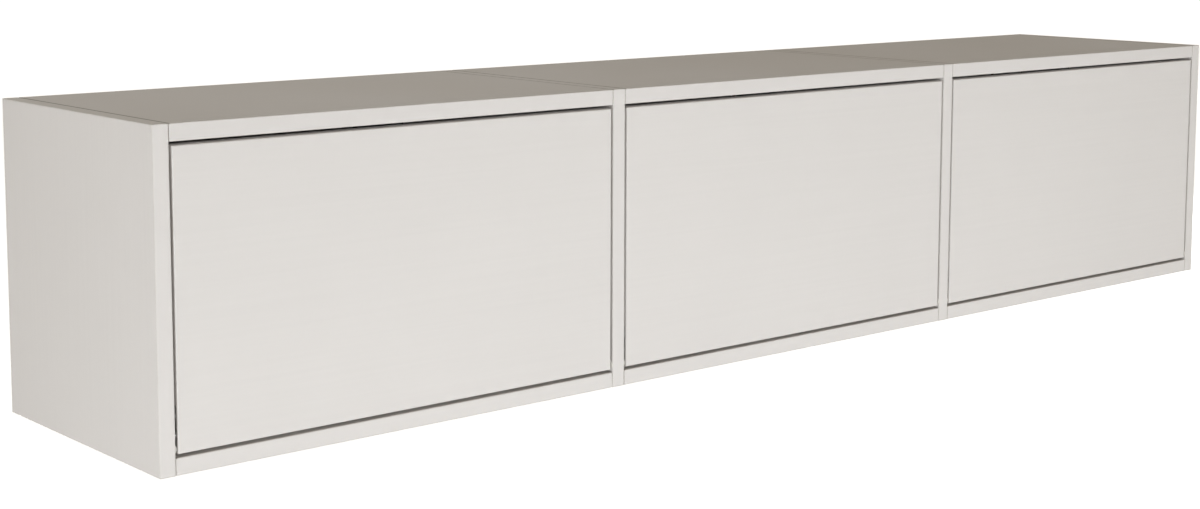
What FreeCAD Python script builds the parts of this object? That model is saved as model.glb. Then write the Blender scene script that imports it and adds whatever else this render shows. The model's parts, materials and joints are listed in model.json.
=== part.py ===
import FreeCAD, Part
import os
import re
import Sketcher
from FreeCAD import Placement, Rotation, Vector

# Wall-hung media console: a long low box of flat boards with three drop-down
# flaps between four full-height uprights. Millimetres, +X to the right along
# the wall, +Y into the wall, +Z up. The origin lies on the wall plane, at the
# centre of the middle hanging rail's screw holes.
#
# Each flap turns on two pivot pins near its lower edge, is lowered by a damped
# arm and link on its right, and is held shut by a push latch under the top.
# Arm, link, flap and carcass are a parallelogram: the arm turns with the flap
# and the link keeps its slope, so both follow the flap at a constant ratio.

SIZES = {
    # carcass boards
    "board": 18,             # thickness of uprights, top, bottom and flaps
    "bay": 568,              # clear width between two uprights
    "height": 350,
    "depth": 340,
    "edge_round": 1,         # rounding of the uprights' banded edges
    "edge_break": 0.6,       # chamfer round the edges of a top or bottom panel
    "joint": 0.5,            # end of a top or bottom panel to the upright, a fine line at each seam
    "play": 0.1,             # clearance round fitted and turning hardware
    # back panels and hanging rails
    "back": 8,               # thickness of a back panel
    "back_play": 0.5,        # looseness of a back panel in its grooves
    "rail_thick": 16,
    "rail_height": 80,
    "wall_hole": 8.5,
    "wall_pitch": 400,
    "outlet_wide": 120,      # cable cut-out
    "outlet_tall": 50,
    "outlet_round": 12,
    "outlet_rise": 30,       # from the bottom board up to the cut-out
    # plywood tongues that join the boards
    "tongue_thick": 4,
    "tongue_reach": 14,      # depth of its slot in a panel's end
    "tongue_inset": 40,      # board edge to slot
    # flaps and their pivots
    "gap_side": 3,
    "gap_top": 4,
    "gap_bottom": 3.6,
    "flap_round": 1.2,
    "pivot_back": 6,         # flap front to pivot axis
    "pivot_rise": 8.5,       # bottom board to pivot axis
    "pin": 5,
    "tab_wide": 7,           # steel tab let into the flap's end
    "tab_span": 40,
    "tab_thick": 2,
    "bush": 8,
    "bush_flange": 11,
    "flange_thick": 1,
    # damped stay
    "stay_inset": 14,        # upright face to arm
    "stay_plate": 3,         # thickness of arm, link and bracket ear
    "stay_air": 0.4,         # between plates that pass each other
    "bracket_reach": 13,     # flap's inner face to bracket pin
    "arm_rise": 142,         # pivot axis to bracket pin, up the flap
    "link_run": 112,         # bracket pin to elbow, towards the wall
    "link_rise": 58,         # bracket pin to elbow, upwards
    "eye_round": 7.5,        # outer radius at the elbow, at both ends of the link and round the bracket's pin
    "arm_root": 11,          # arm's radius at its shaft, from which it narrows
    "ear_root": 32,          # height of the bracket's ear where it leaves the foot
    "rivet": 6,
    "rivet_head": 9.6,
    "shaft": 10,
    "drum": 36,
    "foot_wide": 26,         # mounting foot of the damper
    "foot_span": 72,         # between its two screws
    "foot_thick": 4,
    "bracket_wide": 26,      # foot of the flap's bracket
    "bracket_tall": 48,
    "bracket_pitch": 36,     # between its two screws
    "stay_screw": 4.2,
    # push latch
    "latch_wide": 16,
    "latch_tall": 21,
    "latch_long": 74,
    "latch_drop": 13,        # top board to plunger axis
    "latch_wing": 40,
    "wing_thick": 3,
    "latch_end": 3,          # wall behind the plunger's bore
    "plunger": 8,
    "plunger_long": 48,
    "tip": 11,
    "tip_long": 4,
    "tip_air": 1.2,          # tip to latch front when shut
    "strike": 14,
    "strike_thick": 1.2,
    "strike_air": 0.3,       # tip to strike plate when shut
}

# Lengths and places worked out from the sheet's cells.
WIDTH = "(3 * bay + 4 * board)"
TOP = "(board + rail_height / 2)"
BOTTOM = f"({TOP} - height)"
INSIDE = "(height - 2 * board)"                      # clear height of a bay
GROOVE = "(board / 3)"                               # depth of every groove in an upright
GROOVE_FROM = "(depth - rail_thick - back - play)"   # groove's front wall
GROOVE_WIDE = "(back + 2 * play)"
DECK_LONG = "(bay - 2 * joint)"
SLOT_LONG = "(depth - 2 * tongue_inset)"
SLOT_TALL = "(tongue_thick + 2 * play)"
BUSH_DEEP = "(board * 4 / 9)"
PIN_BORE = "(pin + play)"
FLAP_WIDE = "(bay - 2 * gap_side)"
FLAP_TALL = f"({INSIDE} - gap_top - gap_bottom)"
PIVOT_Y = "(pivot_back - depth)"
PIVOT_Z = f"({BOTTOM} + board + pivot_rise)"
PIN_RISE = "(pivot_rise - gap_bottom)"               # flap's lower edge to pivot axis
BRACKET_BACK = "(board + bracket_reach - pivot_back)"
ARM_LENGTH = f"sqrt({BRACKET_BACK} ^ 2 + arm_rise ^ 2)"
ARM_LEAN = f"-atan({BRACKET_BACK} / arm_rise)"
LINK_LENGTH = "sqrt(link_run ^ 2 + link_rise ^ 2)"
LINK_SLOPE = "atan(link_rise / link_run)"
SHAFT_Y = f"({PIVOT_Y} + link_run)"
SHAFT_Z = f"({PIVOT_Z} + link_rise)"
LATCH_FRONT = "(board + strike_thick + strike_air + tip_long + tip_air - depth)"

ALONG_X, ALONG_Y, ALONG_Z = Vector(1, 0, 0), Vector(0, 1, 0), Vector(0, 0, 1)
BAYS = ("left", "middle", "right")
UPRIGHTS = ("left_side_panel", "left_divider", "right_divider", "right_side_panel")

document = FreeCAD.newDocument("media_console")
sheet = document.addObject("Spreadsheet::Sheet", "Sizes")
for row, (word, value) in enumerate(SIZES.items(), start=1):
    sheet.set(f"A{row}", word)
    sheet.set(f"B{row}", str(value))
    sheet.setAlias(f"B{row}", word)
document.recompute()

nodes = []


# ---------------------------------------------------------------- helpers

def sized(text):
    """The expression with each of the sheet's words made a reference to its cell."""
    return re.sub(r"[a-z_]+", lambda found: f"Sizes.{found[0]}" if found[0] in SIZES else found[0], text)


def bay_left(index):
    """X of the left wall of a bay."""
    return f"(-{WIDTH} / 2 + board + {index} * (bay + board))"


def place(thing, x="0", y="0", z="0", about=None, angle="0"):
    """Put a part at a place, turned by an angle about an axis."""
    thing.Placement = Placement(Vector(), Rotation(about or ALONG_Z, 0))
    for axis, text in zip("xyz", (x, y, z)):
        thing.setExpression(f"Placement.Base.{axis}", sized(text))
    if about:
        thing.setExpression("Placement.Rotation.Angle", sized(angle))


def new_body(label, is_node=True):
    body = document.addObject("PartDesign::Body", label)
    body.Label = label
    if is_node:
        nodes.append(body)
    return body


def new_sketch(body, role, level="0"):
    """A sketch on one of the body's origin planes, moved to a level along +X, +Y or +Z."""
    sketch = body.newObject("Sketcher::SketchObject", "outline")
    plane = next(feature for feature in body.Origin.OriginFeatures if feature.Role == role)
    sketch.AttachmentSupport = [(plane, "")]
    sketch.MapMode = "FlatFace"
    sign = "-" if role == "XZ_Plane" else ""
    sketch.setExpression("AttachmentOffset.Base.z", sized(f"{sign}({level})"))
    return sketch


def dimension(sketch, kind, *targets, size):
    """A driving constraint whose value follows an expression."""
    index = sketch.addConstraint(Sketcher.Constraint(kind, *targets, 10.0))
    name = f"size_{index}"
    sketch.renameConstraint(index, name)
    sketch.setExpression(f"Constraints.{name}", sized(size))


def rectangle(sketch, left, low, wide, tall):
    corners = [Vector(10, 10), Vector(20, 10), Vector(20, 20), Vector(10, 20)]
    first = sketch.GeometryCount
    for index in range(4):
        sketch.addGeometry(Part.LineSegment(corners[index], corners[(index + 1) % 4]), False)
    for index, heading in enumerate(("Horizontal", "Vertical", "Horizontal", "Vertical")):
        following = first + (index + 1) % 4
        sketch.addConstraint(Sketcher.Constraint("Coincident", first + index, 2, following, 1))
        sketch.addConstraint(Sketcher.Constraint(heading, first + index))
    dimension(sketch, "DistanceX", -1, 1, first, 1, size=left)
    dimension(sketch, "DistanceY", -1, 1, first, 1, size=low)
    dimension(sketch, "DistanceX", first, 1, first, 2, size=wide)
    dimension(sketch, "DistanceY", first + 1, 1, first + 1, 2, size=tall)


def circle(sketch, across, up, diameter):
    first = sketch.GeometryCount
    sketch.addGeometry(Part.Circle(Vector(15, 15), ALONG_Z, 5), False)
    dimension(sketch, "DistanceX", -1, 1, first, 3, size=across)
    dimension(sketch, "DistanceY", -1, 1, first, 3, size=up)
    dimension(sketch, "Diameter", first, size=diameter)


def stadium(sketch, across, up, span, diameter, upper_diameter=None):
    """An upright slot outline from (across, up) to a span above. With a second diameter it tapers."""
    low, high = Vector(15, 15), Vector(15, 55)
    right, left = Vector(5, 0), Vector(-5, 0)
    first = sketch.GeometryCount
    sketch.addGeometry(Part.Arc(low + left, low + Vector(0, -5), low + right), False)
    sketch.addGeometry(Part.LineSegment(low + right, high + right), False)
    sketch.addGeometry(Part.Arc(high + right, high + Vector(0, 5), high + left), False)
    sketch.addGeometry(Part.LineSegment(high + left, low + left), False)
    for start, start_end, other, other_end in ((0, 2, 1, 1), (1, 2, 2, 1), (2, 2, 3, 1), (3, 2, 0, 1)):
        joint = Sketcher.Constraint("Tangent", first + start, start_end, first + other, other_end)
        sketch.addConstraint(joint)
    sketch.addConstraint(Sketcher.Constraint("Vertical", first, 3, first + 2, 3))
    dimension(sketch, "DistanceX", -1, 1, first, 3, size=across)
    dimension(sketch, "DistanceY", -1, 1, first, 3, size=up)
    dimension(sketch, "DistanceY", first, 3, first + 2, 3, size=span)
    dimension(sketch, "Radius", first, size=f"{diameter} / 2")
    dimension(sketch, "Radius", first + 2, size=f"{upper_diameter or diameter} / 2")


def outline(sketch, points):
    """A closed outline of straight edges through (across, up) expressions."""
    first = sketch.GeometryCount
    count = len(points)
    rough = [Vector(10 + 10 * index, 10 + index * index) for index in range(count)]
    for index in range(count):
        sketch.addGeometry(Part.LineSegment(rough[index], rough[(index + 1) % count]), False)
    for index in range(count):
        following = first + (index + 1) % count
        sketch.addConstraint(Sketcher.Constraint("Coincident", first + index, 2, following, 1))
    for index, (across, up) in enumerate(points):
        dimension(sketch, "DistanceX", -1, 1, first + index, 1, size=across)
        dimension(sketch, "DistanceY", -1, 1, first + index, 1, size=up)


def check_growth(feature, before, grows):
    """Stop if a feature adds or takes nothing, as one that points away from the solid does."""
    document.recompute()
    after = feature.Shape.Volume
    if (after > before) != grows or abs(after - before) < 1e-6:
        raise RuntimeError(f"{feature.FullName} changed the volume from {before} to {after}")


def volume_of(body):
    return body.Shape.Volume if body.Tip and not body.Shape.isNull() else 0.0


def pad(body, sketch, length, towards=1):
    """Raise a sketch along +X, +Y or +Z, or the other way."""
    before = volume_of(body)
    feature = body.newObject("PartDesign::Pad", "pad")
    feature.Profile = sketch
    feature.setExpression("Length", sized(length))
    on_xz = sketch.AttachmentSupport[0][0].Role == "XZ_Plane"
    feature.Reversed = (towards > 0) == on_xz
    check_growth(feature, before, grows=True)
    return feature


def pocket(body, sketch, length, towards=1):
    """Cut a sketch into the body along +X, +Y or +Z, or the other way."""
    before = volume_of(body)
    feature = body.newObject("PartDesign::Pocket", "pocket")
    feature.Profile = sketch
    feature.setExpression("Length", sized(length))
    on_xz = sketch.AttachmentSupport[0][0].Role == "XZ_Plane"
    feature.Reversed = (towards > 0) != on_xz
    check_growth(feature, before, grows=False)
    return feature


def repeat(body, feature, axis, step):
    """A second copy of a cut, one step along the sketch's own axis."""
    before = volume_of(body)
    pattern = body.newObject("PartDesign::LinearPattern", "pattern")
    pattern.Originals = [feature]
    pattern.Direction = (feature.Profile[0], [axis])
    pattern.setExpression("Length", sized(step))
    pattern.Occurrences = 2
    body.Tip = pattern
    check_growth(pattern, before, grows=False)


def revolve(body, sketch, axis):
    feature = body.newObject("PartDesign::Revolution", "revolution")
    feature.Profile = sketch
    feature.ReferenceAxis = (sketch, [axis])
    feature.Angle = 360
    check_growth(feature, 0.0, grows=True)


def is_along(edge, direction):
    """Whether a straight edge runs along a direction."""
    if edge.Curve.TypeId != "Part::GeomLine":
        return False
    return edge.Curve.Direction.cross(direction).Length < 1e-6


def dress(body, kind, size, test, grows=False):
    """A Chamfer or Fillet on the edges that pass a test of an edge and its middle point.

    In inside corners it adds material."""
    base = body.Tip
    names = []
    for number, edge in enumerate(base.Shape.Edges, start=1):
        middle = edge.valueAt((edge.FirstParameter + edge.LastParameter) / 2)
        if test(edge, middle):
            names.append(f"Edge{number}")
    feature = body.newObject(f"PartDesign::{kind}", kind.lower())
    feature.Base = (base, names)
    feature.setExpression("Size" if kind == "Chamfer" else "Radius", sized(size))
    check_growth(feature, base.Shape.Volume, grows)


def bored(body, role, level, towards, deep, holes):
    """Round holes (across, up, diameter) sunk from a level of an origin plane."""
    sketch = new_sketch(body, role, level)
    for across, up, diameter in holes:
        circle(sketch, across, up, diameter)
    return pocket(body, sketch, deep, towards)


def slotted(body, level, towards, deep):
    """A stopped slot for a tongue, half a board up in a face that looks along X."""
    sketch = new_sketch(body, "YZ_Plane", level)
    rectangle(sketch, "tongue_inset", f"(board - {SLOT_TALL}) / 2", SLOT_LONG, SLOT_TALL)
    return pocket(body, sketch, deep, towards)


def slab(label, role, first, second, thick):
    """A flat board on an origin plane, with its corner at the origin."""
    body = new_body(label)
    sketch = new_sketch(body, role)
    rectangle(sketch, "0", "0", first, second)
    pad(body, sketch, thick)
    return body


def group(label, copies):
    """One node of several separate solids: copies of a master body, each placed."""
    links = []
    for number, (master, placing) in enumerate(copies, start=1):
        link = document.addObject("App::Link", f"{label}_{number}")
        link.LinkedObject = master
        place(link, **placing)
        links.append(link)
    compound = document.addObject("Part::Compound", label)
    compound.Label = label
    compound.Links = links
    nodes.append(compound)


# ---------------------------------------------------------------- carcass

def upright(label, index):
    """A full-height upright. A bay lies on one side of the outer two, on both sides of the dividers."""
    body = slab(label, "YZ_Plane", "depth", "height", "board")
    # banded all round but for the edge on the wall
    rear = body.Tip.Shape.BoundBox.YMax
    dress(body, "Fillet", "edge_round",
          lambda edge, middle: not is_along(edge, ALONG_X) and middle.y < rear - 1)
    bay_sides = [side for side, there in (("left", index > 0), ("right", index < 3)) if there]
    for side in bay_sides:
        # stopped groove for the back panel
        sketch = new_sketch(body, "XY_Plane", f"board - {GROOVE}")
        rectangle(sketch, "0" if side == "left" else f"board - {GROOVE}", GROOVE_FROM, GROOVE, GROOVE_WIDE)
        pocket(body, sketch, f"height - 2 * (board - {GROOVE})")
        # bush for the flap's pivot pin
        face, inwards = ("0", 1) if side == "left" else ("board", -1)
        bored(body, "YZ_Plane", face, inwards, BUSH_DEEP,
              [("pivot_back", "board + pivot_rise", "bush + 2 * play")])
        # slots for the tongues of the top and bottom panels
        slots = slotted(body, face, inwards, GROOVE)
        repeat(body, slots, "V_Axis", "height - board")
    place(body, f"-{WIDTH} / 2 + {index} * (bay + board)", "-depth", BOTTOM)


def deck(label, index, is_top):
    """A top or bottom panel, glued between two uprights with a tongue in each end."""
    body = slab(label, "XY_Plane", DECK_LONG, "depth", "board")
    # its chamfered ends leave a fine groove along each seam
    dress(body, "Chamfer", "edge_break", lambda edge, middle: middle.y < 1 or is_along(edge, ALONG_Y))
    # groove for the back panel, on the side that faces the bay
    sketch = new_sketch(body, "YZ_Plane")
    rectangle(sketch, GROOVE_FROM, "0" if is_top else f"board - {GROOVE}", GROOVE_WIDE, GROOVE)
    pocket(body, sketch, DECK_LONG)
    for end, inwards in (("0", 1), (DECK_LONG, -1)):
        slotted(body, end, inwards, "tongue_reach")
    place(body, f"{bay_left(index)} + joint", "-depth", f"{TOP} - board" if is_top else BOTTOM)


def back_panel(label, index):
    """A thin back panel that sits in grooves on all four sides, with a cable cut-out."""
    wide = f"(bay + 2 * {GROOVE} - back_play)"
    tall = f"({INSIDE} + 2 * {GROOVE} - back_play)"
    body = slab(label, "XZ_Plane", wide, tall, "back")
    outlet_low = f"({GROOVE} - back_play / 2 + outlet_rise)"
    sketch = new_sketch(body, "XZ_Plane")
    rectangle(sketch, f"({wide} - outlet_wide) / 2", outlet_low, "outlet_wide", "outlet_tall")
    pocket(body, sketch, "back")
    centre = body.Tip.Shape.BoundBox.Center.x
    dress(body, "Fillet", "outlet_round", lambda edge, middle: is_along(edge, ALONG_Y)
          and abs(middle.x - centre) < SIZES["outlet_wide"], grows=True)
    screw_up = f"{tall} - {GROOVE} + back_play / 2 - rail_height / 2"
    holes = bored(body, "XZ_Plane", "0", 1, "back", [(f"({wide} - wall_pitch) / 2", screw_up, "wall_hole")])
    repeat(body, holes, "H_Axis", "wall_pitch")
    place(body, f"{bay_left(index)} - {GROOVE} + back_play / 2", "-rail_thick - back",
          f"{BOTTOM} + board - {GROOVE} + back_play / 2")


def hanging_rail(label, index):
    """The rail glued in behind a back panel, which the wall screws go through."""
    body = slab(label, "XZ_Plane", "bay", "rail_height", "rail_thick")
    holes = bored(body, "XZ_Plane", "0", 1, "rail_thick",
                  [("(bay - wall_pitch) / 2", "rail_height / 2", "wall_hole")])
    repeat(body, holes, "H_Axis", "wall_pitch")
    place(body, bay_left(index), "-rail_thick", f"{TOP} - board - rail_height")


def tongues():
    """The plywood tongues, one in each end of each top and bottom panel."""
    master = new_body("tongue_master", is_node=False)
    sketch = new_sketch(master, "YZ_Plane", f"play - {GROOVE}")
    rectangle(sketch, "tongue_inset + play", "-tongue_thick / 2", f"{SLOT_LONG} - 2 * play", "tongue_thick")
    pad(master, sketch, f"{GROOVE} + tongue_reach - 2 * play")
    copies = []
    for index in range(3):
        for z in (f"{BOTTOM} + board / 2", f"{TOP} - board / 2"):
            left, right = bay_left(index), f"{bay_left(index)} + bay"
            copies.append((master, dict(x=left, y="-depth", z=z)))
            copies.append((master, dict(x=right, y="0", z=z, about=ALONG_Z, angle="180")))
    group("joint_tongues", copies)


# ---------------------------------------------------------------- flaps and pivots

def flap(label, index):
    """A flap, flush with the carcass front, with a recess for a pivot tab in each end."""
    body = slab(label, "XZ_Plane", FLAP_WIDE, FLAP_TALL, "board")
    dress(body, "Fillet", "flap_round", lambda edge, middle: middle.y < 1)
    for end, inwards in (("0", 1), (FLAP_WIDE, -1)):
        recess = new_sketch(body, "YZ_Plane", end)
        stadium(recess, "pivot_back", PIN_RISE, "tab_span", "(tab_wide + 2 * play)")
        pocket(body, recess, "tab_thick", inwards)
    place(body, f"{bay_left(index)} + gap_side", "-depth", f"{BOTTOM} + board + gap_bottom")


def pivot_master():
    """A steel tab with its pin, for a flap's left end: the tab's outer face at the origin."""
    body = new_body("pivot_master", is_node=False)
    sketch = new_sketch(body, "YZ_Plane")
    stadium(sketch, "0", "0", "tab_span", "tab_wide")
    pad(body, sketch, "tab_thick - play")
    pin = new_sketch(body, "YZ_Plane")
    circle(pin, "0", "0", "pin")
    pad(body, pin, f"gap_side + {BUSH_DEEP} - 1", towards=-1)
    return body


def bush_master():
    """A flanged nylon bush in a bay's left wall: its flange's seat at the origin, its sleeve towards -X."""
    body = new_body("bush_master", is_node=False)
    sketch = new_sketch(body, "XY_Plane")
    sleeve = f"(-{BUSH_DEEP} + play)"
    outline(sketch, [(sleeve, f"{PIN_BORE} / 2"), ("flange_thick", f"{PIN_BORE} / 2"),
                     ("flange_thick", "bush_flange / 2"), ("0", "bush_flange / 2"),
                     ("0", "bush / 2"), (sleeve, "bush / 2")])
    revolve(body, sketch, "H_Axis")
    return body


def flap_pivots():
    """Pins on each flap and bushes in its bay's walls, on the flap's pivot axis."""
    pivot = pivot_master()
    bush = bush_master()
    for index, name in enumerate(BAYS):
        left = bay_left(index)
        right = f"{left} + bay"
        group(f"{name}_flap_pivot_pins", [
            (pivot, dict(x=f"{left} + gap_side", y=PIVOT_Y, z=PIVOT_Z)),
            (pivot, dict(x=f"{right} - gap_side", y=PIVOT_Y, z=PIVOT_Z, about=ALONG_Z, angle="180")),
        ])
        group(f"{name}_pivot_bushes", [
            (bush, dict(x=left, y=PIVOT_Y, z=PIVOT_Z)),
            (bush, dict(x=right, y=PIVOT_Y, z=PIVOT_Z, about=ALONG_Z, angle="180")),
        ])


# ---------------------------------------------------------------- damped stay
# Each piece is drawn with x = 0 at the bay's right wall and runs into the bay, towards -X.

ARM_FROM = "(-stay_inset)"
LINK_FROM = "(-stay_inset - stay_plate - stay_air)"
HEAD_FROM = f"({LINK_FROM} - stay_plate - stay_air)"
HEAD_THICK = "(stay_plate / 2)"


def raise_disc(body, level, towards, across, up, diameter, length):
    sketch = new_sketch(body, "YZ_Plane", level)
    circle(sketch, across, up, diameter)
    return pad(body, sketch, length, towards)


def damper(label, index):
    """The rotary damper that the arm turns in: a drum on an upright foot with two screw holes."""
    body = new_body(label)
    foot = new_sketch(body, "YZ_Plane")
    stadium(foot, "0", "-foot_span / 2", "foot_span", "foot_wide")
    pad(body, foot, "foot_thick", towards=-1)
    raise_disc(body, "0", -1, "0", "0", "drum", "stay_inset - stay_air")
    bored(body, "YZ_Plane", "-stay_inset", 1, "stay_inset - foot_thick / 2", [("0", "0", "shaft + play")])
    screws = bored(body, "YZ_Plane", "-foot_thick", 1, "foot_thick", [("0", "-foot_span / 2", "stay_screw")])
    repeat(body, screws, "V_Axis", "foot_span")
    place(body, f"{bay_left(index)} + bay", SHAFT_Y, SHAFT_Z)


def stay_arm(label, index):
    """The flat arm with its damper shaft at one end and the elbow rivet at the other."""
    body = new_body(label)
    plate = new_sketch(body, "YZ_Plane", ARM_FROM)
    stadium(plate, "0", "0", ARM_LENGTH, "2 * arm_root", "2 * eye_round")
    pad(body, plate, "stay_plate", towards=-1)
    raise_disc(body, ARM_FROM, 1, "0", "0", "shaft", "stay_inset - foot_thick")
    raise_disc(body, f"{ARM_FROM} - stay_plate", -1, "0", ARM_LENGTH, "rivet", "2 * stay_air + stay_plate")
    raise_disc(body, HEAD_FROM, -1, "0", ARM_LENGTH, "rivet_head", HEAD_THICK)
    place(body, f"{bay_left(index)} + bay", SHAFT_Y, SHAFT_Z, about=ALONG_X, angle=ARM_LEAN)


def stay_link(label, index):
    """The bar from the arm's elbow down to the flap's bracket, drawn upright from the bracket end."""
    body = new_body(label)
    bar = new_sketch(body, "YZ_Plane", LINK_FROM)
    stadium(bar, "0", "0", LINK_LENGTH, "2 * eye_round")
    pad(body, bar, "stay_plate", towards=-1)
    bored(body, "YZ_Plane", LINK_FROM, -1, "stay_plate",
          [("0", "0", "rivet + 4 * play"), ("0", LINK_LENGTH, "rivet + play")])
    place(body, f"{bay_left(index)} + bay", f"{PIVOT_Y} + {BRACKET_BACK}", f"{PIVOT_Z} + arm_rise",
          about=ALONG_X, angle=f"{LINK_SLOPE} - 90 deg")


def flap_bracket(label, index):
    """The bracket on the flap's inner face: a foot, an ear and the pin that the link hangs on."""
    body = new_body(label)
    face = "(-bracket_reach)"
    # the ear, which narrows from the foot to the eye round the pin
    ear = new_sketch(body, "YZ_Plane", ARM_FROM)
    outline(ear, [(face, "-ear_root / 2"), ("0", "-eye_round"), ("0", "eye_round"), (face, "ear_root / 2")])
    pad(body, ear, "stay_plate", towards=-1)
    raise_disc(body, ARM_FROM, -1, "0", "0", "2 * eye_round", "stay_plate")
    # the foot, screwed to the flap
    foot = new_sketch(body, "XZ_Plane", face)
    foot_from = f"({ARM_FROM} - bracket_wide * 3 / 4)"
    rectangle(foot, foot_from, "-bracket_tall / 2", "bracket_wide", "bracket_tall")
    pad(body, foot, "stay_plate")
    screws = bored(body, "XZ_Plane", face, 1, "stay_plate",
                   [(f"{foot_from} + bracket_wide / 3", "-bracket_pitch / 2", "stay_screw")])
    repeat(body, screws, "V_Axis", "bracket_pitch")
    # the pin and its head
    raise_disc(body, f"{ARM_FROM} - stay_plate", -1, "0", "0", "rivet", "2 * stay_air + stay_plate")
    raise_disc(body, HEAD_FROM, -1, "0", "0", "rivet_head", HEAD_THICK)
    place(body, f"{bay_left(index)} + bay", f"{PIVOT_Y} + {BRACKET_BACK}", f"{PIVOT_Z} + arm_rise")


# ---------------------------------------------------------------- push latch
# Each piece is drawn with the plunger's axis at the origin, along Y, and y = 0 at the latch's front.

def latch_housing(label, index):
    """The latch body under the top panel, with a wing on each side that its screws go through."""
    body = new_body(label)
    box = new_sketch(body, "XZ_Plane")
    rectangle(box, "-latch_wide / 2", "latch_drop - latch_tall", "latch_wide", "latch_tall")
    pad(body, box, "latch_long")
    dress(body, "Chamfer", "wing_thick / 2", lambda edge, middle: middle.z < 0)
    wings = new_sketch(body, "XZ_Plane", "latch_long / 2 - latch_wide / 2")
    rectangle(wings, "-latch_wing / 2", "latch_drop - wing_thick", "latch_wing", "wing_thick")
    pad(body, wings, "latch_wide")
    bored(body, "XZ_Plane", "0", 1, "latch_long - latch_end", [("0", "0", "plunger + play")])
    place(body, f"{bay_left(index)} + bay / 2", LATCH_FRONT, f"{TOP} - board - latch_drop")


def latch_plunger(label, index):
    """The sprung rod and its magnet tip."""
    body = new_body(label)
    sketch = new_sketch(body, "XY_Plane")
    front = "(-tip_air - tip_long)"
    outline(sketch, [("0", front), ("tip / 2", front), ("tip / 2", "-tip_air"), ("plunger / 2", "-tip_air"),
                     ("plunger / 2", "plunger_long"), ("0", "plunger_long")])
    revolve(body, sketch, "V_Axis")
    place(body, f"{bay_left(index)} + bay / 2", LATCH_FRONT, f"{TOP} - board - latch_drop")


def strike_plate(label, index):
    """The steel disc on the flap that the magnet holds."""
    body = new_body(label)
    sketch = new_sketch(body, "XZ_Plane")
    circle(sketch, "0", "0", "strike")
    pad(body, sketch, "strike_thick")
    place(body, f"{bay_left(index)} + bay / 2", "board - depth", f"{TOP} - board - latch_drop")


# ---------------------------------------------------------------- the whole console

for number, name in enumerate(UPRIGHTS):
    upright(name, number)
for number, name in enumerate(BAYS):
    deck(f"{name}_top_panel", number, is_top=True)
    deck(f"{name}_bottom_panel", number, is_top=False)
    back_panel(f"{name}_back_panel", number)
    hanging_rail(f"{name}_hanging_rail", number)
    flap(f"{name}_flap", number)
    damper(f"{name}_stay_damper", number)
    stay_arm(f"{name}_stay_arm", number)
    stay_link(f"{name}_stay_link", number)
    flap_bracket(f"{name}_flap_bracket", number)
    latch_housing(f"{name}_latch_housing", number)
    latch_plunger(f"{name}_latch_plunger", number)
    strike_plate(f"{name}_strike_plate", number)
flap_pivots()
tongues()
document.recompute()

for thing in document.Objects:
    if "Invalid" in thing.State or "Error" in thing.State:
        raise RuntimeError(f"{thing.Label} failed: {thing.State}")
for node in nodes:
    if node.Shape.isNull() or not node.Shape.isValid():
        raise RuntimeError(f"{node.Label} has no valid shape")

os.makedirs("parts", exist_ok=True)
for node in nodes:
    node.Shape.exportStep(f"parts/{node.Label}.step")
print(f"{len(nodes)} nodes written")
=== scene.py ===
# %% [markdown]
# # A wall-hung media console
#
# A long, low box of matt lacquered board hangs on the wall: four uprights, a top
# and a bottom panel in each of three bays, and three flaps that drop open on
# damped stays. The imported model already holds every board, pin and stay at its
# real size and place, in metres. This notebook gives it its looks: a studio,
# a finish for every piece, and the small screws that hold the fittings.

# %% Load the construction
import json
import math

import bmesh
import bpy
from mathutils import Matrix, Vector


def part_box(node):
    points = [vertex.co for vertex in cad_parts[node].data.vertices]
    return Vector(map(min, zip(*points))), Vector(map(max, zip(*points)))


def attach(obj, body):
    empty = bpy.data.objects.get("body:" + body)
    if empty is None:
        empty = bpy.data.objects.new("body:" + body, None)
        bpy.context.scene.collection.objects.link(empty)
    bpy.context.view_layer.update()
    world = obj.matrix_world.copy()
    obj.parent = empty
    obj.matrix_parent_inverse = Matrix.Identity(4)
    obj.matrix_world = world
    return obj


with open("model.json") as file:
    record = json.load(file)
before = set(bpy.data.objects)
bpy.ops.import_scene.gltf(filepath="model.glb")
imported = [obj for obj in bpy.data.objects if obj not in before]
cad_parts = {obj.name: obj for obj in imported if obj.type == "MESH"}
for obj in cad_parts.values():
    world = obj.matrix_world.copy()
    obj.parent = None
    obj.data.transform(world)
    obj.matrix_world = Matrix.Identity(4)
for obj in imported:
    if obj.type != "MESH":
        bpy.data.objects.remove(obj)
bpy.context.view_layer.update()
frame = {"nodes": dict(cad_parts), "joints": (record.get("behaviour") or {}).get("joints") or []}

scene = bpy.context.scene
nodes = frame["nodes"]
joints = {joint["name"]: joint for joint in frame["joints"]}
BAYS = ("left", "middle", "right")
MM = 0.001

# %% [markdown]
# ## Camera
#
# The console is seen from the front left, a little above its top, so that the
# front runs away to the right. A lens of about 60 mm keeps that perspective calm.
# Looking slightly down makes upright edges lean together, so part of the downward
# look is made by shifting the sensor instead, as an architect's camera does.

# %% Camera
EYE = (-1.788, -2.059, 0.266)
TURN_RIGHT = 40.44
TILT_DOWN = 6.53
ROLL = -0.13
LENS_MM = 59.5
LENS_SHIFT = -0.10

camera = bpy.data.objects.new("camera", bpy.data.cameras.new("camera"))
scene.collection.objects.link(camera)
camera.location = EYE
camera.rotation_euler = [math.radians(angle) for angle in (90 - TILT_DOWN, ROLL, -TURN_RIGHT)]
camera.data.lens = LENS_MM
camera.data.shift_y = LENS_SHIFT
scene.camera = camera
scene.view_settings.view_transform = "Standard"
print(f"camera {LENS_MM} mm, tilted down {TILT_DOWN} degrees")

# %% [markdown]
# ## Helpers for shader nodes
#
# Every finish below is a small network of nodes. One helper adds a node and fills
# its inputs, either with plain values or with another node's output. Four more
# shorten the steps that come up all the time: a sum, one part of a vector, a value
# spread over a range, and a blend of two colours.

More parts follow.
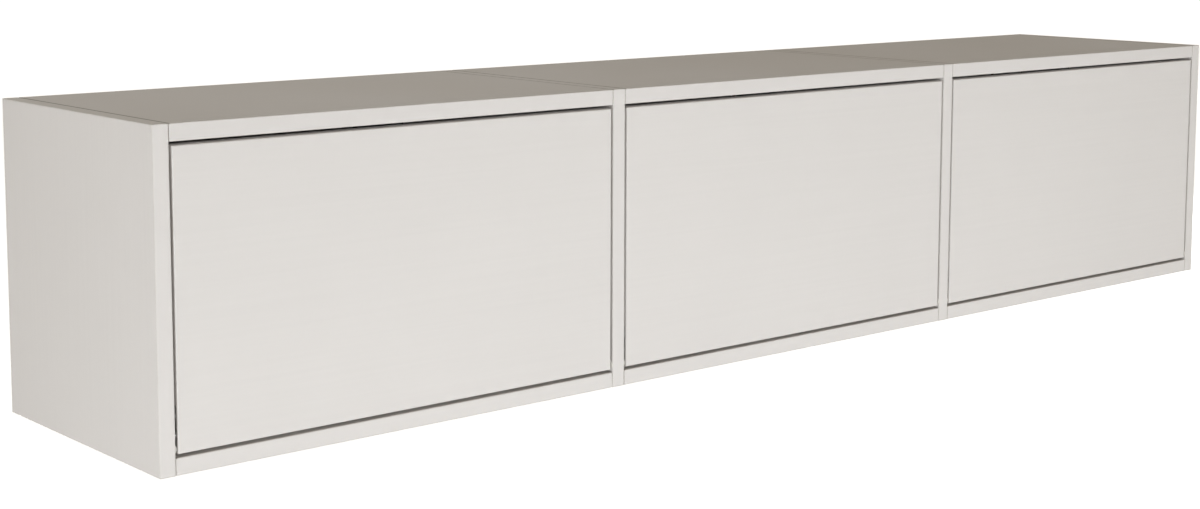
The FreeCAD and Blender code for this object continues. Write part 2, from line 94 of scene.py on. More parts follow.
# %% Helpers for shader nodes
def fill_input(tree, socket, value):
    """Link an output to an input, or set the input to a plain value."""
    if isinstance(value, bpy.types.NodeSocket):
        tree.links.new(value, socket)
    else:
        socket.default_value = value


def add_node(tree, kind, inputs=None, **options):
    """Add a node, set its options, and fill the inputs that are given by name."""
    node = tree.nodes.new(f"ShaderNode{kind}")
    for option, choice in options.items():
        setattr(node, option, choice)
    for name, value in (inputs or {}).items():
        fill_input(tree, node.inputs[name], value)
    return node


def calculate(tree, operation, first, second=0.0):
    """One arithmetic step on two numbers or outputs."""
    return add_node(tree, "Math", {0: first, 1: second}, operation=operation).outputs[0]


def part_along(tree, vector, axis):
    """How far a vector reaches along X, Y or Z."""
    return add_node(tree, "SeparateXYZ", {"Vector": vector}).outputs[axis]


def spread(tree, value, low, high, source=(0.0, 1.0)):
    """A value that runs over one range, stretched to another and held inside it."""
    limits = {"From Min": source[0], "From Max": source[1], "To Min": low, "To Max": high}
    return add_node(tree, "MapRange", {"Value": value, **limits}).outputs[0]


def blend_colours(tree, factor, first, second, mode="MIX"):
    """A blend of two colours, where a factor of 1 shows the second in full."""
    node = add_node(tree, "Mix", data_type="RGBA", blend_type=mode)
    for name, value in (("Factor", factor), ("A", first), ("B", second)):
        socket = next(found for found in node.inputs if found.name == name and found.enabled)
        fill_input(tree, socket, value)
    return next(found for found in node.outputs if found.enabled)


print("shader helpers ready")

# %% [markdown]
# ## Floor
#
# The floor lies under the console, below its own height, as a real floor does under
# wall-hung furniture. It should read as plain white, yet still take the soft shadow.
# So its shader adds two parts: a matt surface that the lamps light, and a glow that
# only the camera and reflections see. In the shadow the matt part dims by itself.

# %% Floor
FLOOR_LEVEL = -0.62
FLOOR_RADIUS = 60.0
FLOOR_SIDES = 96
FLOOR_COLOUR = (0.86, 0.86, 0.86, 1)
FLOOR_GLOW = 0.84
WHITE = (1, 1, 1, 1)


def seen_directly(tree):
    """1 for rays from the camera, a mirror or glass, and 0 for light that is on its way round."""
    path = add_node(tree, "LightPath").outputs
    camera_or_mirror = calculate(tree, "MAXIMUM", path["Is Camera Ray"], path["Is Glossy Ray"])
    return calculate(tree, "MAXIMUM", camera_or_mirror, path["Is Transmission Ray"])


def new_material(name):
    """A material with an empty node tree."""
    material = bpy.data.materials.new(name)
    material.use_nodes = True
    material.node_tree.nodes.clear()
    return material, material.node_tree


floor_material, tree = new_material("studio_floor")
matt = add_node(tree, "BsdfDiffuse", {"Color": FLOOR_COLOUR})
strength = calculate(tree, "MULTIPLY", seen_directly(tree), FLOOR_GLOW)
glow = add_node(tree, "Emission", {"Color": WHITE, "Strength": strength})
both = add_node(tree, "AddShader", {0: matt.outputs[0], 1: glow.outputs[0]})
add_node(tree, "OutputMaterial", {"Surface": both.outputs[0]})

shape = bmesh.new()
bmesh.ops.create_circle(shape, cap_ends=True, segments=FLOOR_SIDES, radius=FLOOR_RADIUS)
bmesh.ops.translate(shape, verts=shape.verts, vec=(0, 0, FLOOR_LEVEL))
floor_mesh = bpy.data.meshes.new("floor")
shape.to_mesh(floor_mesh)
shape.free()
floor_mesh.materials.append(floor_material)
floor = bpy.data.objects.new("floor", floor_mesh)
scene.collection.objects.link(floor)

# %% [markdown]
# ## World
#
# All visible faces share one colour, so only the light tells them apart. The top is
# much darker than the front, and a little warmer. A dim, warm world gives that: it is
# nearly all the light that the top gets, and it fills the shadows inside the open
# bays. It is a little brighter near the horizon than overhead. Cameras, mirrors and
# glass see plain white instead.

# %% World
HORIZON_LIGHT = (0.390, 0.350, 0.315, 1)
OVERHEAD_LIGHT = (0.248, 0.217, 0.159, 1)

world = bpy.data.worlds.new("studio")
world.use_nodes = True
scene.world = world
tree = world.node_tree
tree.nodes.clear()
direction = add_node(tree, "TexCoord").outputs["Generated"]
height = part_along(tree, direction, "Z")
sky = blend_colours(tree, calculate(tree, "MAXIMUM", height), HORIZON_LIGHT, OVERHEAD_LIGHT)
backdrop = blend_colours(tree, seen_directly(tree), sky, WHITE)
light = add_node(tree, "Background", {"Color": backdrop, "Strength": 1.0})
add_node(tree, "OutputWorld", {"Surface": light.outputs[0]})
print("world: dim and warm, plain white to the camera")

# %% [markdown]
# ## Lamps
#
# Two wide, low lamps stand in front, the nearer one before the left door. They are
# lower than the top, which they leave dark, and they are near, so the doors are
# brightest at the lower left and fade towards the right. The side lamp does the same
# for the left panel. A faint one hangs over the left end, behind the front's plane,
# and lifts only that end of the top. The last, behind and to the right, is for looks
# from there: it touches neither the front, the top nor the left side.

# %% Lamps
LAMP_COLOUR = (0.93, 0.965, 1.0)


def soft_lamp(name, place, target, wide, tall, power):
    """A rectangular lamp at a place, facing a target."""
    lamp = bpy.data.lights.new(name, "AREA")
    lamp.shape = "RECTANGLE"
    lamp.size = wide
    lamp.size_y = tall
    lamp.energy = power
    lamp.color = LAMP_COLOUR
    holder = bpy.data.objects.new(name, lamp)
    scene.collection.objects.link(holder)
    holder.location = place
    holder.visible_camera = False
    holder.rotation_euler = (Vector(target) - Vector(place)).to_track_quat("-Z", "Y").to_euler()


soft_lamp("front_lamp", (-0.7, -1.9, -0.46), (-0.2, -0.34, -0.25), 1.0, 0.3, 10.2)
soft_lamp("right_lamp", (0.9, -2.2, -0.46), (0.6, -0.34, -0.25), 1.0, 0.3, 13.5)
soft_lamp("side_lamp", (-2.6, -0.8, -0.46), (-0.888, -0.2, -0.25), 0.8, 0.3, 17.3)
soft_lamp("top_lamp", (-0.85, -0.05, 1.1), (-0.75, -0.15, 0.058), 0.6, 0.4, 1.13)
soft_lamp("back_lamp", (3.0, 2.2, -0.35), (0.5, -0.1, -0.12), 1.2, 0.4, 60)
print("five lamps")

# %% [markdown]
# ## Softened edges
#
# No real edge is perfectly sharp: paint, plating and tumbling all round it a little,
# and light catches there. A Bevel node finds the rounded normal near each edge, for
# any mesh. Comparing it with the true normal also gives a mask of the edges, which
# the finishes use for painted shade on the lacquer's edges, for paler edges on plastic
# and fibre, and for brighter edges on metal. Every material needs this, so it is a
# node group: it is built once, and each material sets its radius.

# %% Node group: softened edges
def new_group(name, inputs, outputs):
    """A node group with the named sockets, and its input and output nodes."""
    group = bpy.data.node_groups.new(name, "ShaderNodeTree")
    for label, kind, value in inputs:
        socket = group.interface.new_socket(label, in_out="INPUT", socket_type=f"NodeSocket{kind}")
        if kind == "Float":
            socket.default_value = value
    for label, kind in outputs:
        group.interface.new_socket(label, in_out="OUTPUT", socket_type=f"NodeSocket{kind}")
    return group, group.nodes.new("NodeGroupInput"), group.nodes.new("NodeGroupOutput")


def use_group(tree, group, inputs):
    """Place a node group in a material, with its inputs filled."""
    node = tree.nodes.new("ShaderNodeGroup")
    node.node_tree = group
    for name, value in inputs.items():
        fill_input(tree, node.inputs[name], value)
    return node.outputs


ALL_BUT_FLAT = 0.995
WELL_ROUND = 0.8
soft_edges, given, result = new_group(
    "soft_edges", [("Radius", "Float", 0.0005)], [("Normal", "Vector"), ("Edge", "Float")])
rounded = add_node(soft_edges, "Bevel", {"Radius": given.outputs["Radius"]}, samples=4).outputs[0]
true_normal = add_node(soft_edges, "NewGeometry").outputs["Normal"]
likeness = add_node(soft_edges, "VectorMath", {0: rounded, 1: true_normal}, operation="DOT_PRODUCT")
edge = spread(soft_edges, likeness.outputs["Value"], 1.0, 0.0, source=(WELL_ROUND, ALL_BUT_FLAT))
soft_edges.links.new(rounded, result.inputs["Normal"])
soft_edges.links.new(edge, result.inputs["Edge"])
print("group soft_edges")

# %% [markdown]
# ## Long grain
#
# Rolled-on primer and sanding leave very faint streaks along a board, and plywood and
# rolled steel have stronger ones. The group squeezes its coordinates along X before
# it reads a noise, so that the pattern is drawn out in that direction. To run it
# another way, a material turns the coordinates first with a Mapping node.

# %% Node group: long grain
NOISE_SPAN = (0.3, 0.7)


def noise(tree, place, scale, detail, roughness=0.5):
    """A cloudy pattern of a given number of lumps per metre, around 0.5."""
    settings = {"Vector": place, "Scale": scale, "Detail": detail, "Roughness": roughness}
    return add_node(tree, "TexNoise", settings).outputs[0]


long_grain, given, result = new_group(
    "long_grain",
    [("Vector", "Vector", None), ("Lines per metre", "Float", 400.0), ("Stretch", "Float", 60.0)],
    [("Streaks", "Float")])
squeeze = calculate(long_grain, "DIVIDE", 1.0, given.outputs["Stretch"])
squeeze = add_node(long_grain, "CombineXYZ", {"X": squeeze, "Y": 1.0, "Z": 1.0}).outputs[0]
place = add_node(long_grain, "VectorMath", {0: given.outputs["Vector"], 1: squeeze}, operation="MULTIPLY")
lines = noise(long_grain, place.outputs[0], given.outputs["Lines per metre"], 3.0, 0.6)
streaks = spread(long_grain, lines, 0.0, 1.0, source=NOISE_SPAN)
long_grain.links.new(streaks, result.inputs["Streaks"])
print("group long_grain")

# %% [markdown]
# ## Film
#
# Sprayed lacquer, moulded plastic and plating are all thin skins that settled from a
# liquid. They share three things: a fine ripple in the surface, like orange peel;
# broad, faint clouds where the skin is a little thicker; and rare small nibs of dust.
# Each material asks for its own size of ripple and cloud.

# %% Node group: settled film
NIBS_PER_METRE = 45.0
NIB_SLOPE = (0.012, 0.022)
film, given, result = new_group(
    "settled_film",
    [("Vector", "Vector", None), ("Ripple size", "Float", 0.0015), ("Cloud size", "Float", 0.15)],
    [("Ripple", "Float"), ("Cloud", "Float"), ("Nib", "Float")])
place = given.outputs["Vector"]
ripples = calculate(film, "DIVIDE", 1.0, given.outputs["Ripple size"])
clouds = calculate(film, "DIVIDE", 1.0, given.outputs["Cloud size"])
cloud = spread(film, noise(film, place, clouds, 4.0), 0.0, 1.0, source=NOISE_SPAN)
cell = add_node(film, "TexVoronoi", {"Vector": place, "Scale": NIBS_PER_METRE, "Randomness": 1.0})
nib = spread(film, cell.outputs["Distance"], 1.0, 0.0, source=NIB_SLOPE)
film.links.new(noise(film, place, ripples, 2.0, 0.45), result.inputs["Ripple"])
film.links.new(cloud, result.inputs["Cloud"])
film.links.new(nib, result.inputs["Nib"])
print("group settled_film")

# %% [markdown]
# ## Pressed fibre
#
# The hanging rails are bare fibreboard, and so is the core of the back panels, which
# shows where they are cut. Up close it is a brown felt of short fibres with some
# paler and darker patches. The sum of a fine and a coarse noise gives the colour, a
# third one adds dark flecks, and the fine one also gives the slightly furry relief.

# %% Node group: pressed fibre
FIBRE_DARK = (0.235, 0.155, 0.09, 1)
FIBRE_PALE = (0.43, 0.32, 0.21, 1)
FLECK = (0.12, 0.075, 0.045, 1)
FELT_SHARE = 0.7

fibre, given, result = new_group(
    "pressed_fibre", [("Vector", "Vector", None)], [("Colour", "Color"), ("Relief", "Float")])
place = given.outputs["Vector"]
felt = noise(fibre, place, 900.0, 4.0, 0.7)
patches = calculate(fibre, "MULTIPLY", noise(fibre, place, 35.0, 3.0), 1.0 - FELT_SHARE)
tone = calculate(fibre, "ADD", calculate(fibre, "MULTIPLY", felt, FELT_SHARE), patches)
paleness = spread(fibre, tone, 0.0, 1.0, source=(0.35, 0.65))
fleck = spread(fibre, noise(fibre, place, 1500.0, 1.0), 0.0, 0.5, source=(0.66, 0.74))
colour = blend_colours(fibre, paleness, FIBRE_DARK, FIBRE_PALE)
colour = blend_colours(fibre, fleck, colour, FLECK)
fibre.links.new(colour, result.inputs["Colour"])
fibre.links.new(felt, result.inputs["Relief"])
print("group pressed_fibre")

# %% [markdown]
# ## Board joints
#
# On the top, each panel meets its uprights in a hairline groove. The shade in that
# groove is painted into the colour as a thin dark line, so that it shows even where
# light falls along it. The joints lie at the ends of the top panels, at three
# distances left and right of the middle. The group measures how far a point is from
# the nearest one, and keeps the painted shade to surfaces that look up.

# %% Node group: board joints
FULL_SHADE = 0.2
joint_lines = sorted({round(abs(corner.x), 5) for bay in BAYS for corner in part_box(f"{bay}_top_panel")})


def looking_along(tree, axis):
    """How far a surface looks along X, Y or Z, from -1 to 1."""
    return part_along(tree, add_node(tree, "TexCoord").outputs["Normal"], axis)


# The group puts out a mask for the painted shade in the joint grooves.
board_joints, given, result = new_group(
    "board_joints", [("Vector", "Vector", None), ("Reach", "Float", 0.0015)], [("Painted shade", "Float")])
across = calculate(board_joints, "ABSOLUTE", part_along(board_joints, given.outputs["Vector"], "X"))
distance = 1.0
for line in joint_lines:
    from_line = calculate(board_joints, "ABSOLUTE", calculate(board_joints, "SUBTRACT", across, line))
    distance = calculate(board_joints, "MINIMUM", from_line, distance)
closeness = calculate(board_joints, "DIVIDE", distance, given.outputs["Reach"])
closeness = spread(board_joints, closeness, 1.0, 0.0, source=(FULL_SHADE, 1.0))
upward = calculate(board_joints, "MAXIMUM", looking_along(board_joints, "Z"))
board_joints.links.new(calculate(board_joints, "MULTIPLY", closeness, upward), result.inputs["Painted shade"])
print("joints at", joint_lines)

# %% [markdown]
# ## Lacquer
#
# All outer boards wear the same matt, warm off-white lacquer. Its colour is nearly
# even: the clouds and streaks change it by a percent or so. Shade is painted over the
# edges, where the colour turns darker and a little olive. The streaks run upwards on
# the uprights and lengthwise on tops, bottoms and flaps, as those boards were made.
# The uprights have rounded front edges, which catch the light a little more broadly.
# A small bump gives the peel that softens reflections at a low angle.

# %% Material: lacquer
LACQUER = (0.752, 0.730, 0.712, 1)
# Painted shade: the darker, olive colour that the lacquer takes over its edges.
LACQUER_EDGE_SHADE = (0.56, 0.53, 0.47, 1)
# Painted shade: the dark line in the joint grooves on the top.
JOINT_SHADE = (0.22, 0.20, 0.17, 1)
ALONG_BOARD = (0, 0, 0)
UP_THE_BOARD = (0, math.pi / 2, 0)


def object_place(tree, turn=None):
    """Coordinates fixed to the piece, in metres, turned for a grain that doesn't run along X."""
    place = add_node(tree, "TexCoord").outputs["Object"]
    return add_node(tree, "Mapping", {"Vector": place, "Rotation": turn}).outputs[0] if turn else place


def relief(tree, height, normal, depth, strength):
    """A bump of a given depth in metres on top of a normal."""
    settings = {"Height": height, "Normal": normal, "Distance": depth, "Strength": strength}
    return add_node(tree, "Bump", settings).outputs[0]


def finish_surface(tree, colour, roughness, normal, metallic=0.0, specular=0.5):
    """The Principled shader and the material's output."""
    shader = add_node(tree, "BsdfPrincipled", {
        "Base Color": colour, "Roughness": roughness, "Normal": normal,
        "Metallic": metallic, "Specular IOR Level": specular})
    add_node(tree, "OutputMaterial", {"Surface": shader.outputs[0]})


def shaded(tree, colour, value, amount):
    """A colour made up to a given share darker or lighter by a value from 0 to 1."""
    factor = spread(tree, value, 1.0 - amount, 1.0 + amount)
    grey = add_node(tree, "CombineColor", {"Red": factor, "Green": factor, "Blue": factor}).outputs[0]
    return blend_colours(tree, 1.0, colour, grey, mode="MULTIPLY")


def lacquer(name, turn, radius):
    """Matt lacquer with edges of a radius, whose streaks run along X once the place is turned."""
    material, tree = new_material(name)
    place, turned = object_place(tree), object_place(tree, turn)
    edges = use_group(tree, soft_edges, {"Radius": radius})
    skin = use_group(tree, film, {"Vector": place, "Ripple size": 1.3 * MM, "Cloud size": 0.22})
    streaked = {"Vector": turned, "Lines per metre": 260.0, "Stretch": 70.0}
    grain = use_group(tree, long_grain, streaked)["Streaks"]
    joint_shade = use_group(tree, board_joints, {"Vector": place, "Reach": 2.0 * MM})["Painted shade"]
    # Painted shade: the colour turns darker and olive over the edges.
    colour = blend_colours(tree, edges["Edge"], LACQUER, LACQUER_EDGE_SHADE)
    # Painted shade: a thin dark line in each joint groove on the top.
    colour = blend_colours(tree, joint_shade, colour, JOINT_SHADE)
    colour = shaded(tree, colour, skin["Cloud"], 0.010)
    colour = shaded(tree, colour, grain, 0.008)
    roughness = spread(tree, skin["Cloud"], 0.64, 0.72)
    surface = calculate(tree, "ADD", skin["Ripple"], calculate(tree, "MULTIPLY", grain, 0.25))
    surface = calculate(tree, "ADD", surface, skin["Nib"])
    normal = relief(tree, surface, edges["Normal"], 0.02 * MM, 0.6)
    finish_surface(tree, colour, roughness, normal, specular=0.25)
    return material


upright_lacquer = lacquer("lacquer_grain_up", UP_THE_BOARD, 1.8 * MM)
board_lacquer = lacquer("lacquer_grain_along", ALONG_BOARD, 0.9 * MM)
print("lacquer with the grain up, and along")

# %% [markdown]
# ## Dressing the boards
#
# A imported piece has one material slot, so a finish is put on it by filling that slot.
# A small helper does this for every piece with a given name, in each bay.

# %% Boards get their lacquer
def dress(names, material):
    """Give each named piece of the construction its finish."""
    for name in names:
        nodes[name].material_slots[0].material = material
    print(f"{material.name}: {len(names)} pieces")


def in_each_bay(*parts):
    """The full names of pieces that every bay has."""
    return [f"{bay}_{part}" for bay in BAYS for part in parts]


UPRIGHTS = ["left_side_panel", "left_divider", "right_divider", "right_side_panel"]
dress(UPRIGHTS, upright_lacquer)
dress(in_each_bay("top_panel", "bottom_panel", "flap"), board_lacquer)

# %% [markdown]
# ## Back panels
#
# A back panel is thin fibreboard, painted on its two broad faces and left bare where
# it is cut: round its rim, in the cable outlet and in the screw holes. One material
# can hold both if it knows which way a face looks. The Normal output of the Texture
# Coordinate node gives that: broad faces look along Y, and cut ones don't.

# %% Material: back panel
BACK_PAINT = (0.69, 0.665, 0.64, 1)

back_material, tree = new_material("painted_fibreboard")
place = object_place(tree)
edges = use_group(tree, soft_edges, {"Radius": 0.4 * MM})
skin = use_group(tree, film, {"Vector": place, "Ripple size": 0.9 * MM, "Cloud size": 0.12})
core = use_group(tree, fibre, {"Vector": place})
cut = calculate(tree, "LESS_THAN", calculate(tree, "ABSOLUTE", looking_along(tree, "Y")), 0.5)
paint = shaded(tree, BACK_PAINT, skin["Cloud"], 0.025)
colour = blend_colours(tree, cut, paint, core["Colour"])
surface = calculate(tree, "ADD", skin["Ripple"], calculate(tree, "MULTIPLY", core["Relief"], cut))
normal = relief(tree, surface, edges["Normal"], 0.04 * MM, 0.7)
finish_surface(tree, colour, spread(tree, cut, 0.48, 0.85), normal, specular=0.35)
dress(in_each_bay("back_panel"), back_material)

# %% [markdown]
# ## Hanging rails
#
# The rails behind the back panels carry the whole console on the wall screws. Nobody
# sees them, so they are bare fibreboard. Its broad faces were pressed smooth and dark
# in the mill, while the sawn edges are rougher and paler.

# %% Material: hanging rail
rail_material, tree = new_material("bare_fibreboard")
core = use_group(tree, fibre, {"Vector": object_place(tree)})
edges = use_group(tree, soft_edges, {"Radius": 0.6 * MM})
sawn = calculate(tree, "LESS_THAN", calculate(tree, "ABSOLUTE", looking_along(tree, "Y")), 0.5)
colour = shaded(tree, core["Colour"], calculate(tree, "MAXIMUM", sawn, edges["Edge"]), 0.12)
normal = relief(tree, core["Relief"], edges["Normal"], 0.08 * MM, 0.8)
finish_surface(tree, colour, spread(tree, sawn, 0.62, 0.9), normal, specular=0.3)
dress(in_each_bay("hanging_rail"), rail_material)

# %% [markdown]
# ## Plywood tongues
#
# The boards are joined by plywood tongues. Three thin plies show on their edges, the
# middle one across the others, so it looks darker. The plies are layers of height:
# the distance from the middle of the tongue decides which ply a point is in. The
# tongues lie in two rows, in the tops and in the bottoms, so that distance is first
# measured from the nearer row.

# %% Material: plywood
TONGUE_THICK = 4 * MM
PLY_FACE = (0.66, 0.50, 0.33, 1)
PLY_CORE = (0.47, 0.33, 0.20, 1)
tongue_low, tongue_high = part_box("joint_tongues")
row_bottom = tongue_low.z + TONGUE_THICK / 2
row_top = tongue_high.z - TONGUE_THICK / 2

plywood, tree = new_material("birch_plywood")
place = object_place(tree)
height = part_along(tree, place, "Z")
from_bottom = calculate(tree, "ABSOLUTE", calculate(tree, "SUBTRACT", height, row_bottom))
from_top = calculate(tree, "ABSOLUTE", calculate(tree, "SUBTRACT", height, row_top))
off_middle = calculate(tree, "MINIMUM", from_bottom, from_top)
middle_ply = calculate(tree, "LESS_THAN", off_middle, TONGUE_THICK / 6)
grain = use_group(tree, long_grain, {"Vector": place, "Lines per metre": 900.0, "Stretch": 25.0})["Streaks"]
edges = use_group(tree, soft_edges, {"Radius": 0.3 * MM})
colour = blend_colours(tree, middle_ply, PLY_FACE, PLY_CORE)
colour = shaded(tree, colour, grain, 0.14)
normal = relief(tree, grain, edges["Normal"], 0.05 * MM, 0.6)
finish_surface(tree, colour, spread(tree, grain, 0.55, 0.72), normal, specular=0.4)
dress(["joint_tongues"], plywood)

# %% [markdown]
# ## Plated metal
#
# Arm, link, pins, strike plate and screws are steel with a thin bright nickel plate,
# and the bracket is a zinc casting with the same plate over a coarser skin. Plating
# is never quite even: clouds change its tone and its gloss. The edges, polished by
# tumbling, are brighter. On rolled steel fine lines run along the strip, so each
# material gets a turn that lays them along its piece.

# %% Material: plated metal
NICKEL = (0.60, 0.60, 0.59, 1)
NICKEL_EDGE = (0.76, 0.76, 0.75, 1)
LINK_WIDE = 15 * MM


def plated(name, turn, lines, ripple_size, ripple_depth, radius):
    """Nickel plate with rolling lines of a given strength over a ripple of a given size."""
    material, tree = new_material(name)
    place = object_place(tree, turn)
    edges = use_group(tree, soft_edges, {"Radius": radius})
    skin = use_group(tree, film, {"Vector": place, "Ripple size": ripple_size, "Cloud size": 0.018})
    lined = {"Vector": place, "Lines per metre": 4200.0, "Stretch": 40.0}
    grain = use_group(tree, long_grain, lined)["Streaks"]
    colour = shaded(tree, NICKEL, skin["Cloud"], 0.07)
    colour = blend_colours(tree, edges["Edge"], colour, NICKEL_EDGE)
    roughness = spread(tree, skin["Cloud"], 0.27, 0.38)
    roughness = calculate(tree, "ADD", roughness, spread(tree, grain, 0.0, 0.10 * lines))
    surface = calculate(tree, "ADD", skin["Ripple"], calculate(tree, "MULTIPLY", grain, lines))
    normal = relief(tree, surface, edges["Normal"], ripple_depth, 0.7)
    finish_surface(tree, colour, roughness, normal, metallic=1.0)
    return material


def grain_along(way):
    """The turn that lays the grain along a direction in the plane of a stay."""
    return (math.atan2(way.y, way.z), math.pi / 2, 0)


pivot, elbow = (Vector(joints[name]["pos_m"]) for name in ("left_arm_pivot", "left_elbow"))
link_low, link_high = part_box("left_stay_link")
link_way = link_high - link_low - Vector((0, LINK_WIDE, LINK_WIDE))
arm_steel = plated("nickel_steel_arm", grain_along(elbow - pivot), 1.0, 1.2 * MM, 0.012 * MM, 0.4 * MM)
link_steel = plated("nickel_steel_link", grain_along(link_way), 1.0, 1.2 * MM, 0.012 * MM, 0.4 * MM)
small_steel = plated("nickel_steel_small", ALONG_BOARD, 0.6, 0.8 * MM, 0.010 * MM, 0.3 * MM)
cast_zinc = plated("nickel_zinc_casting", ALONG_BOARD, 0.0, 0.55 * MM, 0.03 * MM, 0.7 * MM)
dress(in_each_bay("stay_arm"), arm_steel)
dress(in_each_bay("stay_link"), link_steel)
dress(in_each_bay("flap_pivot_pins", "strike_plate"), small_steel)
dress(in_each_bay("flap_bracket"), cast_zinc)

# %% [markdown]
# ## Moulded plastic
#
# Damper, latch and bushes are moulded. The mould is spark-eroded, which leaves an
# even, very fine grain, and the plastic flows into it with faint broad swirls. All
# plastics here are one recipe with their own colour, gloss and edge radius. Natural
# nylon is a little waxy, so it is smoother than the others.

# %% Material: moulded plastic
def moulded(name, colour, gloss, radius, grain_depth):
    """Moulded plastic in one colour, with a roughness range for its swirls."""
    material, tree = new_material(name)
    edges = use_group(tree, soft_edges, {"Radius": radius})
    swirls = {"Vector": object_place(tree), "Ripple size": 0.35 * MM, "Cloud size": 0.012}
    skin = use_group(tree, film, swirls)
    pale = [min(1.0, part * 1.25 + 0.01) for part in colour[:3]] + [1]
    tone = shaded(tree, colour, skin["Cloud"], 0.05)
    tone = blend_colours(tree, spread(tree, edges["Edge"], 0.0, 0.6), tone, pale)
    roughness = spread(tree, skin["Cloud"], *gloss)
    normal = relief(tree, skin["Ripple"], edges["Normal"], grain_depth, 0.8)
    finish_surface(tree, tone, roughness, normal, specular=0.45)
    return material


DAMPER_GREY = (0.085, 0.087, 0.092, 1)
LATCH_GREY = (0.105, 0.105, 0.11, 1)
NATURAL_NYLON = (0.80, 0.785, 0.74, 1)
damper_plastic = moulded("damper_plastic", DAMPER_GREY, (0.42, 0.54), 0.8 * MM, 0.06 * MM)
latch_plastic = moulded("latch_plastic", LATCH_GREY, (0.40, 0.50), 0.5 * MM, 0.04 * MM)
nylon = moulded("natural_nylon", NATURAL_NYLON, (0.30, 0.38), 0.3 * MM, 0.01 * MM)
dress(in_each_bay("stay_damper"), damper_plastic)
dress(in_each_bay("latch_housing"), latch_plastic)
dress(in_each_bay("pivot_bushes"), nylon)

# %% [markdown]
# ## Latch plunger
#
# The plunger is a dark plastic rod, and its wider tip holds a magnet in a bright cap.
# They are one piece of the construction, so one material shows both: the tip is
# nearest the front, and a step on the Y coordinate tells it from the rod.

# %% Material: latch plunger
TIP_LONG = 4 * MM
ROD_PLASTIC = (0.045, 0.046, 0.05, 1)
plunger_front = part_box("left_latch_plunger")[0].y

plunger_material, tree = new_material("plunger_with_magnet")
place = object_place(tree)
edges = use_group(tree, soft_edges, {"Radius": 0.5 * MM})
skin = use_group(tree, film, {"Vector": place, "Ripple size": 0.4 * MM, "Cloud size": 0.01})
is_tip = calculate(tree, "LESS_THAN", part_along(tree, place, "Y"), plunger_front + TIP_LONG * 1.01)
metal = blend_colours(tree, edges["Edge"], shaded(tree, NICKEL, skin["Cloud"], 0.05), NICKEL_EDGE)
colour = blend_colours(tree, is_tip, shaded(tree, ROD_PLASTIC, skin["Cloud"], 0.1), metal)
normal = relief(tree, skin["Ripple"], edges["Normal"], 0.012 * MM, 0.7)
finish_surface(tree, colour, spread(tree, is_tip, 0.42, 0.38), normal, metallic=is_tip)
dress(in_each_bay("latch_plunger"), plunger_material)

# %% [markdown]
# ## Screw heads
#
# The fittings are held by cross-head screws. A head starts as a short cone-shaped
# drum. Bevelling its upper rim gives the dome. Four pairs of cuts across the flat
# middle outline a cross, and pushing the cells of the cross down, a little narrower
# at the floor, makes the recess that the driver fits. One mesh serves every screw of
# a kind: it is copied to each place and turned to look away from its seat.

# %% Screw head
HEAD_SIDES = 28
DOME_STEPS = 4


def screw_head(radius, rise, flare):
    """A cross-recessed head that stands on z = 0 and looks up, wider at its foot by a flare."""
    shape = bmesh.new()
    bmesh.ops.create_cone(
        shape, cap_ends=True, segments=HEAD_SIDES, radius1=radius, radius2=radius - flare, depth=rise)
    bmesh.ops.translate(shape, verts=shape.verts, vec=(0, 0, rise / 2))
    rim = [edge for edge in shape.edges if min(vert.co.z for vert in edge.verts) > rise * 0.99]
    bmesh.ops.bevel(
        shape, geom=rim, offset=rise * 0.75, segments=DOME_STEPS, profile=0.5, affect="EDGES", material=-1)

    half_wide, half_long, deep = radius * 0.15, radius * 0.56, rise * 0.8
    for axis in (Vector((1, 0, 0)), Vector((0, 1, 0))):
        for offset in (-half_long, -half_wide, half_wide, half_long):
            top = [face for face in shape.faces if face.calc_center_median().z > rise * 0.999]
            pieces = list({*top, *(edge for face in top for edge in face.edges),
                           *(vert for face in top for vert in face.verts)})
            bmesh.ops.bisect_plane(shape, geom=pieces, plane_co=axis * offset, plane_no=axis)

    def in_cross(face):
        across, along = sorted(abs(part) for part in face.calc_center_median().xy)
        return face.calc_center_median().z > rise * 0.999 and across < half_wide and along < half_long

    cells = [face for face in shape.faces if in_cross(face)]
    pushed = bmesh.ops.extrude_face_region(shape, geom=cells)["geom"]
    floor_points = [part for part in pushed if isinstance(part, bmesh.types.BMVert)]
    bmesh.ops.scale(shape, verts=floor_points, vec=(0.72, 0.72, 1))
    bmesh.ops.translate(shape, verts=floor_points, vec=(0, 0, -deep))
    bmesh.ops.recalc_face_normals(shape, faces=shape.faces)
    mesh = bpy.data.meshes.new("screw_head")
    shape.to_mesh(mesh)
    shape.free()
    return mesh


pan_head = screw_head(3.6 * MM, 2.2 * MM, 0.0)
flat_head = screw_head(2.7 * MM, 0.35 * MM, 0.3 * MM)
flush_head = screw_head(2.7 * MM, 0.12 * MM, 0.1 * MM)
print(f"pan head {len(pan_head.polygons)} faces, flat head {len(flat_head.polygons)} faces")

# %% [markdown]
# ## Where the screws sit
#
# Each place is worked out from the piece that the screws hold, so the heads stay on
# their seats: two on each damper foot, two under each latch's wings, two on each flap
# bracket, two on each pivot tab, and one in each strike plate. Screws that hold a
# fitting to a flap ride with the flap, and the others stay with the cabinet. Each
# cross is turned a little differently, as a driver leaves it.

# %% Fit the screws
CROSS_STEP = math.radians(37)


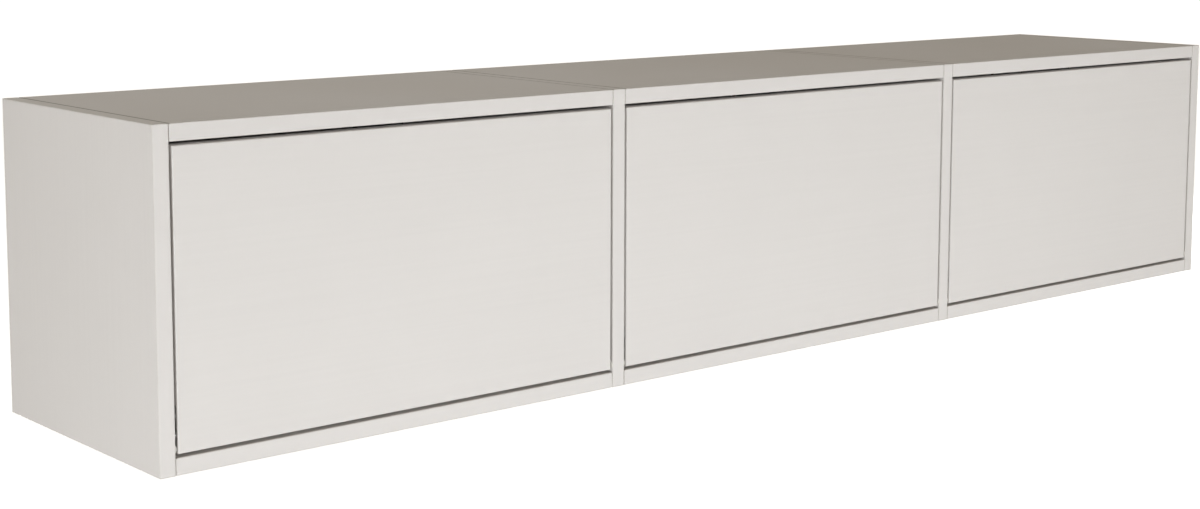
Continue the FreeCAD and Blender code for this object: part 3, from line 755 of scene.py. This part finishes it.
def fit_screws(name, body, head, facing, places):
    """One piece of several screws, each head on its place and looking the way it faces."""
    shape = bmesh.new()
    face_out = Vector((0, 0, 1)).rotation_difference(Vector(facing)).to_matrix().to_4x4()
    for number, place in enumerate(places):
        count = len(shape.verts)
        shape.from_mesh(head)
        shape.verts.ensure_lookup_table()
        roll = Matrix.Rotation(CROSS_STEP * number, 4, "Z")
        seated = Matrix.Translation(place) @ face_out @ roll
        bmesh.ops.transform(shape, matrix=seated, verts=shape.verts[count:])
    mesh = bpy.data.meshes.new(name)
    shape.to_mesh(mesh)
    shape.free()
    mesh.materials.append(small_steel)
    mesh.shade_smooth()
    mesh.set_sharp_from_angle(angle=math.radians(35))
    piece = bpy.data.objects.new(name, mesh)
    scene.collection.objects.link(piece)
    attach(piece, body)


DAMPER_FOOT = 4 * MM
DAMPER_PITCH = 72 * MM
BRACKET_FOOT = 3 * MM
BRACKET_PITCH = 36 * MM
WING_THICK = 3 * MM
WING_SCREW = 14 * MM
TAB_SCREWS = (14 * MM, 33 * MM)

for bay in BAYS:
    low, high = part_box(f"{bay}_stay_damper")
    middle = (low + high) / 2
    seats = [(high.x - DAMPER_FOOT, middle.y, middle.z + side * DAMPER_PITCH / 2) for side in (-1, 1)]
    fit_screws(f"{bay}_damper_screws", "cabinet", pan_head, (-1, 0, 0), seats)

    low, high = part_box(f"{bay}_latch_housing")
    middle = (low + high) / 2
    seats = [(middle.x + side * WING_SCREW, middle.y, high.z - WING_THICK) for side in (-1, 1)]
    fit_screws(f"{bay}_latch_screws", "cabinet", pan_head, (0, 0, -1), seats)

    low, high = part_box(f"{bay}_flap_bracket")
    middle = (low + high) / 2
    screw_x = low.x + (high.x - low.x) / 3
    seats = [(screw_x, low.y + BRACKET_FOOT, middle.z + side * BRACKET_PITCH / 2) for side in (-1, 1)]
    fit_screws(f"{bay}_bracket_screws", f"{bay}_flap", pan_head, (0, 1, 0), seats)

    hinge = Vector(joints[f"{bay}_flap_hinge"]["pos_m"])
    low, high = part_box(f"{bay}_flap")
    for side, end, facing in (("left", low.x, (-1, 0, 0)), ("right", high.x, (1, 0, 0))):
        seats = [(end, hinge.y, hinge.z + up) for up in TAB_SCREWS]
        fit_screws(f"{bay}_{side}_tab_screws", f"{bay}_flap", flat_head, facing, seats)

    low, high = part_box(f"{bay}_strike_plate")
    middle = (low + high) / 2
    seats = [(middle.x, high.y, middle.z)]
    fit_screws(f"{bay}_strike_screw", f"{bay}_flap", flush_head, (0, 1, 0), seats)
print(f"11 screws fitted in each of {len(BAYS)} bays")
